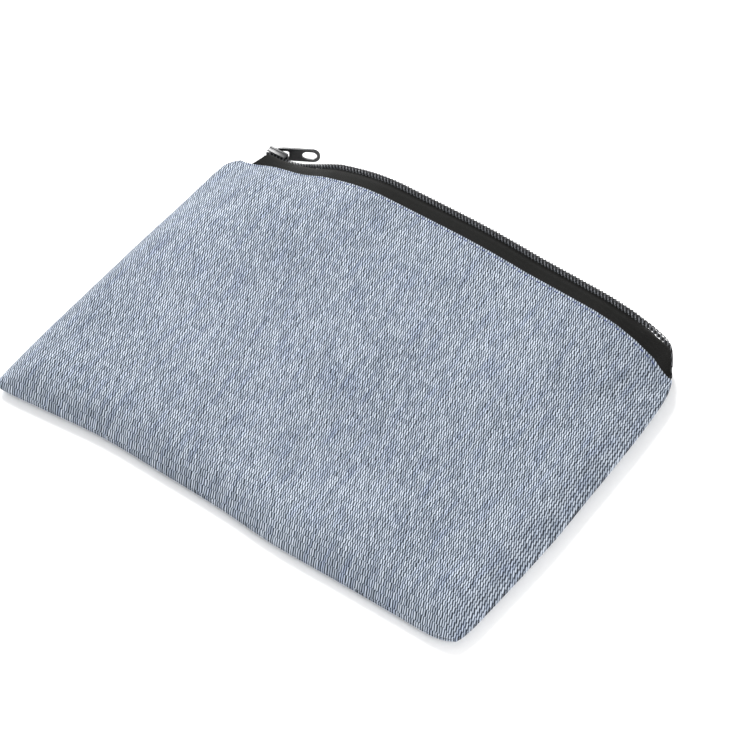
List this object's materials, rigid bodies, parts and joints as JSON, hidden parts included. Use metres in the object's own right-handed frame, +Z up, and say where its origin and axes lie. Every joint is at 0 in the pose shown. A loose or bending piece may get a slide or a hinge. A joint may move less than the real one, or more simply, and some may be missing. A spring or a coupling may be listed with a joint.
{
  "type": "makeup bag",
  "caption": "Flat zipped make-up pouch in blue and white twill, lying open on its back panel, with a black coil zip and a pierced metal pull tab.",
  "frame": {"origin": "on the flat underside of the back panel, midway between the bottom seam and the lip", "axes": "+X along the mouth towards the end where the zip closes, +Y from the bottom seam to the mouth, +Z up off the back panel"},
  "size_m": [0.2476, 0.1991, 0.0344],
  "materials": {
    "cloth": "blue and white cotton twill",
    "allowance": "raw side of the same cloth",
    "overlock": "pale overlock thread",
    "tape": "woven black zip tape",
    "coil": "black nylon coil",
    "cord": "black filler cord",
    "zip_thread": "black sewing thread",
    "stitch": "blue sewing thread",
    "slider": "black enamelled zinc"
  },
  "bodies": {
    "bag": {"front_panel": "cloth", "back_panel": "cloth", "back_zip_tape": "tape", "back_coil": "coil", "back_coil_cord": "cord", "back_coil_stitch": "zip_thread", "front_topstitch": "stitch", "back_topstitch": "stitch", "left_seam_allowance": "allowance", "left_overlock": "overlock", "right_seam_allowance": "allowance", "right_overlock": "overlock", "bottom_seam_allowance": "allowance", "bottom_overlock": "overlock"},
    "front_lip": {"front_zip_tape": "tape", "front_coil": "coil", "front_coil_cord": "cord", "front_coil_stitch": "zip_thread"},
    "slider": {"slider_body": "slider"},
    "pull_tab": {"pull_tab": "slider"}
  },
  "joints": [
    {"name": "slider_travel", "type": "slide", "parent": "bag", "child": "slider", "axis": [1, 0, 0], "range_m": [0, 0.2]},
    {"name": "mouth_close", "type": "slide", "parent": "bag", "child": "front_lip", "axis": [0, 0, -1], "range_m": [0, 0.02162], "deforming": ["front_zip_tape", "front_coil", "front_coil_cord", "front_coil_stitch"]},
    {"name": "pull_tab_swing", "type": "hinge", "parent": "slider", "child": "pull_tab", "pos_m": [-0.1061, 0.09905, 0.0055], "axis": [0, 0, 1], "range_deg": [-3, 148]}
  ],
  "couplings": [
    {"joint": "mouth_close", "follows": "slider_travel", "ratio": 0.1081}
  ]
}
